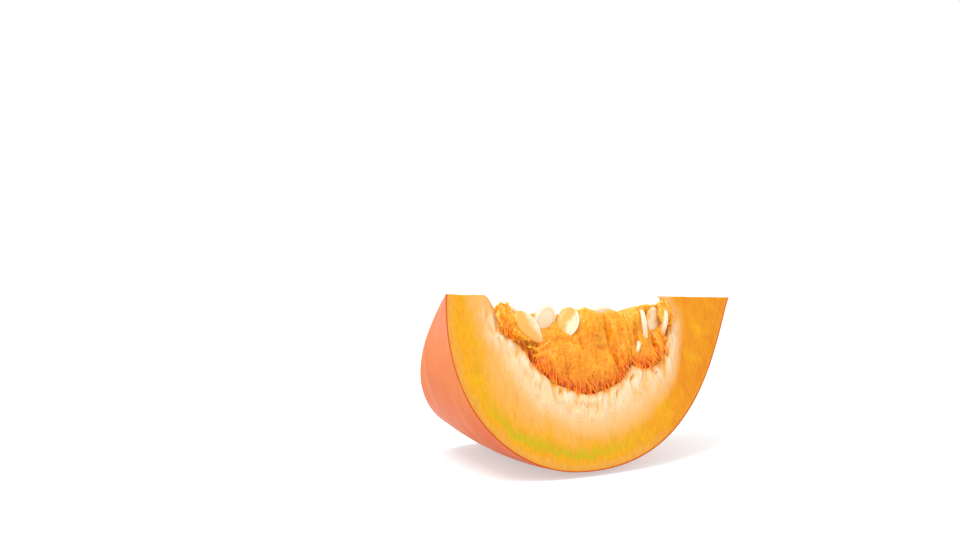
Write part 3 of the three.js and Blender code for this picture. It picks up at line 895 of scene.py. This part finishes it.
def main_pulp(material):
    line = hollow_part(BOWL)
    line = line[line[:, 1] > 9 * MM]
    core = pulp_core(line, (FRONT_TOP, REAR_TOP), (FRONT_LUMPS, REAR_LUMPS), 1, (150, 90))
    return melt("pulp_main_strings", [core, *tuft_strings()], material, 11)


def stem_pulp(material):
    line = hollow_part(SMALL_BOWL)
    line = line[line[:, 1] > 7 * MM]
    core = pulp_core(line, (STEM_FRONT_TOP, STEM_REAR_TOP), (STEM_FRONT_LUMPS, STEM_REAR_LUMPS), 2,
                     (80, 80))
    corner = egg((76.3, 9.6, -1.6), (4.6, 8.2, 3))
    return melt("pulp_stem_end_strings", [core, corner], material, 31)


def wet_pulp():
    """Wet pumpkin pulp: a glistening soft mass, golden on top, with painted shade that turns it deep
    red orange in its folds.
    """
    m = new_material("wet_stringy_pumpkin_pulp")
    crevice = add(m, "Attribute", {"attribute_name": "crevice"}).outputs["Fac"]
    gap = add(m, "Attribute", {"attribute_name": "hollow_gap"}).outputs["Fac"]
    down = add(m, "Attribute", {"attribute_name": "down"}).outputs["Fac"]
    spot = add(m, "TexCoord").outputs["Object"]
    blotch = add(m, "TexNoise", {"Scale": bump_sizes(5.26), "Detail": 4}, Vector=spot)
    mixed = add(m, "Math", {"operation": "MULTIPLY_ADD", 1: 1.3, 2: -0.65}, _0=blotch)
    # Painted shade: the deeper a place lies in a fold, the deeper red orange it is coloured.
    deep = add(m, "Math", {"operation": "ADD"}, _0=crevice, _1=mixed)
    low = add(m, "MapRange", span(11.0, 1.0, end=1.9), Value=gap)
    under = add(m, "MapRange", span(22.0, 42.0), Value=down)
    low = add(m, "Math", {"operation": "MULTIPLY"}, _0=low, _1=under)
    deep = add(m, "Math", {"operation": "ADD"}, _0=deep, _1=low)
    high = add(m, "MapRange", span(26.0, 9.0, end=-0.7), Value=down)
    deep = add(m, "Math", {"operation": "ADD"}, _0=deep, _1=high)
    share = add(m, "MapRange", span(-1.6, 2.0), Value=deep)
    tone = add(m, "ValToRGB", {"stops": (
        (0.0, "#FFC247"), (0.22, "#FAAE22"), (0.42, "#F79E1A"), (0.56, "#F4931A"),
        (0.7, "#EC7A12"), (0.85, "#E0560A"), (1.0, "#C84006"))}, _0=share)
    stretched = add(m, "Mapping", {"Scale": bump_sizes(1.43, 2, 4.35)}, Vector=spot)
    fibres = add(m, "TexNoise", {"Scale": 1, "Detail": 4, "Distortion": 1.2}, Vector=stretched)
    light = add(m, "MapRange", span(0.3, 0.7, 0.74, 0.99), Value=fibres)
    toned = add(m, "HueSaturation", {}, Value=light, Color=tone)
    bump = add(m, "Bump", {"Strength": 0.6, "Distance": 0.7 * MM}, Height=fibres)
    finish_material(m, toned, bump, Roughness=0.32, IOR=1.36,
                    Specular_IOR_Level=0.45, Subsurface_Weight=0.5, Subsurface_Scale=4 * MM,
                    Subsurface_Radius=(1.0, 0.4, 0.08), Coat_Weight=0.12, Coat_Roughness=0.1)
    return m


# ---- strands that follow a surface ----

STRAND_SIDES = 4
STRAND_RINGS = 5


def strand_tree():
    """Geometry nodes that grow tapered, wavering strands from a surface and drop the surface.

    The surface carries how densely they grow (strand_share) and which way (strand_way).
    """
    tree = bpy.data.node_groups.new("surface_strands", "GeometryNodeTree")
    sockets = (("Surface", "Geometry", None), ("Density", "Float", 1e5), ("Seed", "Int", 1),
               ("Length", "Float", 4 * MM), ("Radius", "Float", 0.2 * MM),
               ("Wave", "Float", 1 * MM), ("Wave Scale", "Float", 300.0),
               ("Material", "Material", None))
    for name, kind, value in sockets:
        socket = tree.interface.new_socket(name, in_out="INPUT", socket_type="NodeSocket" + kind)
        if value is not None:
            socket.default_value = value
    tree.interface.new_socket("Strands", in_out="OUTPUT", socket_type="NodeSocketGeometry")

    given = add(tree, "NodeGroupInput").outputs
    share = add(tree, "GeometryNodeInputNamedAttribute", {"data_type": "FLOAT", "Name": "strand_share"})
    way = add(tree, "GeometryNodeInputNamedAttribute",
              {"data_type": "FLOAT_VECTOR", "Name": "strand_way"})
    dense = add(tree, "ShaderNodeMath", {"operation": "MULTIPLY"}, _0=given["Density"], _1=share)
    points = add(tree, "GeometryNodeDistributePointsOnFaces", Mesh=given["Surface"], Density=dense,
                 Seed=given["Seed"])
    tone = add(tree, "FunctionNodeRandomValue", {"data_type": "FLOAT"}, Seed=given["Seed"])
    toned = add(tree, "GeometryNodeStoreNamedAttribute",
                {"data_type": "FLOAT", "domain": "POINT", "Name": "strand_tone"}, Geometry=points,
                Value=tone.outputs["Value"])

    cone = add(tree, "GeometryNodeMeshCone",
               {"Vertices": STRAND_SIDES, "Side Segments": STRAND_RINGS, "Radius Top": 0.25,
                "Radius Bottom": 1.0, "Depth": 1.0})
    place = add(tree, "GeometryNodeInputPosition")
    height = add(tree, "ShaderNodeSeparateXYZ", _0=place)
    strand = add(tree, "GeometryNodeStoreNamedAttribute",
                 {"data_type": "FLOAT", "domain": "POINT", "Name": "strand_run"},
                 Geometry=cone.outputs["Mesh"], Value=height.outputs["Z"])

    turn = add(tree, "FunctionNodeAlignRotationToVector", {"axis": "Z"}, Vector=way)
    longer = add(tree, "FunctionNodeRandomValue", {"data_type": "FLOAT", 2: 0.55, 3: 1.35},
                 Seed=given["Seed"])
    length = add(tree, "ShaderNodeMath", {"operation": "MULTIPLY"}, _0=given["Length"],
                 _1=longer.outputs["Value"])
    size = add(tree, "ShaderNodeCombineXYZ", X=given["Radius"], Y=given["Radius"], Z=length)
    grown = add(tree, "GeometryNodeInstanceOnPoints", Points=toned, Instance=strand, Rotation=turn,
                Scale=size)
    real = add(tree, "GeometryNodeRealizeInstances", Geometry=grown)

    run = add(tree, "GeometryNodeInputNamedAttribute", {"data_type": "FLOAT", "Name": "strand_run"})
    waves = add(tree, "ShaderNodeTexNoise", {"Detail": 1}, Vector=place, Scale=given["Wave Scale"])
    centred = add(tree, "ShaderNodeVectorMath", {"operation": "SUBTRACT", 1: (0.5, 0.5, 0.5)},
                  _0=waves.outputs["Color"])
    strength = add(tree, "ShaderNodeMath", {"operation": "MULTIPLY"}, _0=run, _1=given["Wave"])
    offset = add(tree, "ShaderNodeVectorMath", {"operation": "SCALE"}, Vector=centred, Scale=strength)
    moved = add(tree, "GeometryNodeSetPosition", Geometry=real, Offset=offset)
    coloured = add(tree, "GeometryNodeSetMaterial", Geometry=moved, Material=given["Material"])
    add(tree, "NodeGroupOutput", _0=coloured)
    return tree


def grow(tree, name, surface, share, way, material, **settings):
    """A piece of strands grown from a copy of a surface."""
    base = surface.copy()
    add_layers(base, {"strand_share": share, "strand_way": way})
    piece = bpy.data.objects.new(name, base)
    bpy.context.scene.collection.objects.link(piece)
    modifier = piece.modifiers.new("strands", "NODES")
    modifier.node_group = tree
    settings["Material"] = material
    for socket in tree.interface.items_tree:
        key = socket.name.replace(" ", "_")
        if socket.in_out == "INPUT" and key in settings:
            modifier[socket.identifier] = settings[key]
    as_plain_mesh(piece)
    smooth_faces(piece.data)
    return piece


def fruit_ways(places):
    """At each row place: away from the axis, and which cut faces are near (front +, rear -)."""
    own = (places - SLICE_PLACE) @ SLICE_TURN
    away = own * (0, 1, 1)
    radius = np.linalg.norm(away, axis=1)
    angle = np.arctan2(-own[:, 1], -own[:, 2])
    return (away / radius[:, None]) @ SLICE_TURN.T, angle / WEDGE_HALF, own[:, 0], radius


def pulp_strands(tree, pulp, finger, string, seed):
    """Fingers along the pulp's lower edge, and fine fuzz all over it."""
    places, normals, _ = mesh_arrays(pulp.data)
    outward, side, along, radius = fruit_ways(places)
    gap = distance_to_line(np.stack([along, radius], 1), hollow_line(300))
    facing = np.clip((np.abs(side) - 0.72) / 0.15, 0, 1)
    swirl = grain_vectors(places, 6 * MM, seed)
    jitter = grain_vectors(places, 1.7 * MM, seed + 5)

    edge = (smoothstep(0.3 * MM, 1.5 * MM, gap) * (1 - smoothstep(3.5 * MM, 7 * MM, gap))) * facing
    spread = np.stack([along, radius * 0.2, side * MM], -1)
    clumped = smoothstep(-0.3, 0.3, grain(spread, 3.2 * MM, seed))
    fingers = grow(tree, pulp.name + "_fingers", pulp.data, edge * clumped,
                   outward + 0.25 * normals + 0.5 * swirl + 0.3 * jitter, finger,
                   Density=520000.0, Seed=seed, Length=3.6 * MM, Radius=0.34 * MM,
                   Wave=2.2 * MM, Wave_Scale=260.0)
    fuzz = grow(tree, pulp.name + "_fuzz", pulp.data,
                (facing * 0.8 + 0.2) * np.maximum(facing, smoothstep(2 * MM, 6 * MM, gap)),
                0.75 * outward + 0.14 * normals + 1.1 * swirl + 0.5 * jitter, string,
                Density=180000.0, Seed=seed + 1, Length=4.2 * MM, Radius=0.18 * MM,
                Wave=2.4 * MM, Wave_Scale=420.0)
    return [fingers, fuzz]


def flesh_fibres(tree, flesh, material, seed):
    """Pale fibres left standing where the flesh is torn round the hollow."""
    places, normals, _ = mesh_arrays(flesh.data)
    outward, side, along, radius = fruit_ways(places)
    gap = distance_to_line(np.stack([along, radius], 1), hollow_line(300))
    reach = (5 + 13 * falling(30 * MM, 80 * MM, along)) * MM
    near = (1 - smoothstep(0.1, 1, gap / reach)) * smoothstep(0, 0.8 * MM, gap)
    facing = (np.abs(side) > 0.97) * smoothstep(3 * MM, 9 * MM, radius)
    patches = smoothstep(-0.35, 0.4, grain(places, 6 * MM, seed))
    swirl = grain_vectors(places, 7 * MM, seed)
    slant = np.array([-0.45, 0, 0])
    return grow(tree, "torn_flesh_fibres", flesh.data, near * facing * patches,
                outward + slant + 0.1 * normals + 0.7 * swirl, material,
                Density=1800000.0, Seed=seed, Length=3.1 * MM, Radius=0.22 * MM,
                Wave=1.8 * MM, Wave_Scale=300.0)


def strand_material(name, root, tip, depth, painted_glow):
    """Wet plant strands: darker and more orange at the root, paler and thinner at the tip, with a
    painted glow in the root's colour.
    """
    m = new_material(name)
    run = add(m, "Attribute", {"attribute_name": "strand_run"}).outputs["Fac"]
    tone = add(m, "Attribute", {"attribute_name": "strand_tone"}).outputs["Fac"]
    shade = add(m, "ValToRGB", {"stops": ((0.0, root), (0.55, tip))}, _0=run)
    light = add(m, "MapRange", span(0.0, 1.0, *depth), Value=tone)
    toned = add(m, "HueSaturation", {}, Value=light, Color=shade)
    spot = add(m, "TexCoord").outputs["Object"]
    wet = add(m, "TexNoise", {"Scale": bump_sizes(1.11), "Detail": 2}, Vector=spot)
    bump = add(m, "Bump", {"Strength": 0.25, "Distance": 0.3 * MM}, Height=wet)
    # The emission is a painted glow in the root's colour that lightens the shade between the strands.
    finish_material(m, toned, bump, Roughness=0.34, IOR=1.36,
                    Specular_IOR_Level=0.4, Emission_Color=linear(root), Emission_Strength=painted_glow)
    return m


# ---- the set: floor, light and camera ----

ROOM_LIGHT = 1.01
FLOOR_GLOW = 0.47
# Soft boxes: name, place in metres, width in metres and power in watts.
LAMPS = [("overhead_softbox", (-0.5, -0.1, 1.3), 0.7, 12),
         ("side_softbox", (1.3, -1.0, 0.9), 1.2, 1.5)]


def set_stage():
    floor = mesh_piece("floor", [(-3, -3, 0), (3, -3, 0), (3, 3, 0), (-3, 3, 0)], [(0, 1, 2, 3)], [])
    paper = new_material("white_paper_sweep")
    tooth = add(paper, "TexNoise", {"Scale": bump_sizes(16.7), "Detail": 2})
    tone = add(paper, "ValToRGB", {"stops": ((0, "#CACBCB"), (1, "#CFD0D0"))}, _0=tooth)
    finish_material(paper, tone, Roughness=0.9, Specular_IOR_Level=0.2,
                    Emission_Color=linear("#E9FDFF"), Emission_Strength=FLOOR_GLOW)
    floor.data.materials.append(paper)

    world = bpy.data.worlds.new("soft_white_room")
    world.use_nodes = True
    world.node_tree.nodes["Background"].inputs["Color"].default_value = (1, 1, 1, 1)
    world.node_tree.nodes["Background"].inputs["Strength"].default_value = ROOM_LIGHT
    bpy.context.scene.world = world
    bpy.context.scene.view_settings.view_transform = "Standard"


def set_lights():
    for name, place, size, power in LAMPS:
        light = bpy.data.lights.new(name, "AREA")
        light.size = size
        light.energy = power
        lamp = bpy.data.objects.new(name, light)
        lamp.location = place
        lamp.rotation_euler = (Vector((0, 0, 0.05)) - lamp.location).to_track_quat("-Z", "Y").to_euler()
        bpy.context.scene.collection.objects.link(lamp)


def set_camera():
    middle = Vector(to_row([(STEM_REACH - BLOSSOM_REACH) / 2, 0, 0]))
    data = bpy.data.cameras.new("camera")
    data.lens = CAMERA_LENS
    data.clip_start, data.clip_end = 0.05, 20
    camera = bpy.data.objects.new("camera", data)
    camera.location = middle + CAMERA_DISTANCE * Vector((
        math.sin(CAMERA_AZIMUTH) * math.cos(CAMERA_ELEVATION),
        -math.cos(CAMERA_AZIMUTH) * math.cos(CAMERA_ELEVATION),
        math.sin(CAMERA_ELEVATION)))
    camera.rotation_euler = (math.pi / 2 - CAMERA_TILT, 0, CAMERA_PAN)
    bpy.context.scene.collection.objects.link(camera)
    bpy.context.scene.camera = camera


def settle(piece, node=None):
    """Hides the part of the frame a finished piece stands for, if one is named, and gives the piece its
    body.
    """
    if node:
        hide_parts(node)
    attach(piece, "root")


def main():
    set_stage()
    set_lights()
    set_camera()
    flesh = flesh_slice([cut_flesh(), smooth_rind()])
    wet = wet_pulp()
    pulps = [main_pulp(wet), stem_pulp(wet)]
    tree = strand_tree()
    # The last number of each is its painted glow.
    string = strand_material("wet_pumpkin_pulp_strands", "#F2921A", "#FDB034", (0.74, 1.04), 0.06)
    finger = strand_material("wet_pumpkin_pulp_fingers", "#EE6812", "#FBA02C", (0.8, 1.1), 0.2)
    fibre = strand_material("torn_pumpkin_flesh_fibres", "#FAC680", "#FDE2B8", (0.84, 1.0), 0.12)
    strands = [made for k, pulp in enumerate(pulps)
               for made in pulp_strands(tree, pulp, finger, string, 21 + 20 * k)]
    fibres = flesh_fibres(tree, flesh, fibre, 5)

    settle(flesh, "flesh_and_rind")
    settle(pulps[0], "pulp_main")
    settle(pulps[1], "pulp_stem_end")
    for piece in strands:
        settle(piece)
    settle(fibres)
    coat = seed_coat()
    for number, node in enumerate(SEED_NODES):
        settle(seed_piece(node, coat, number), node)


main()
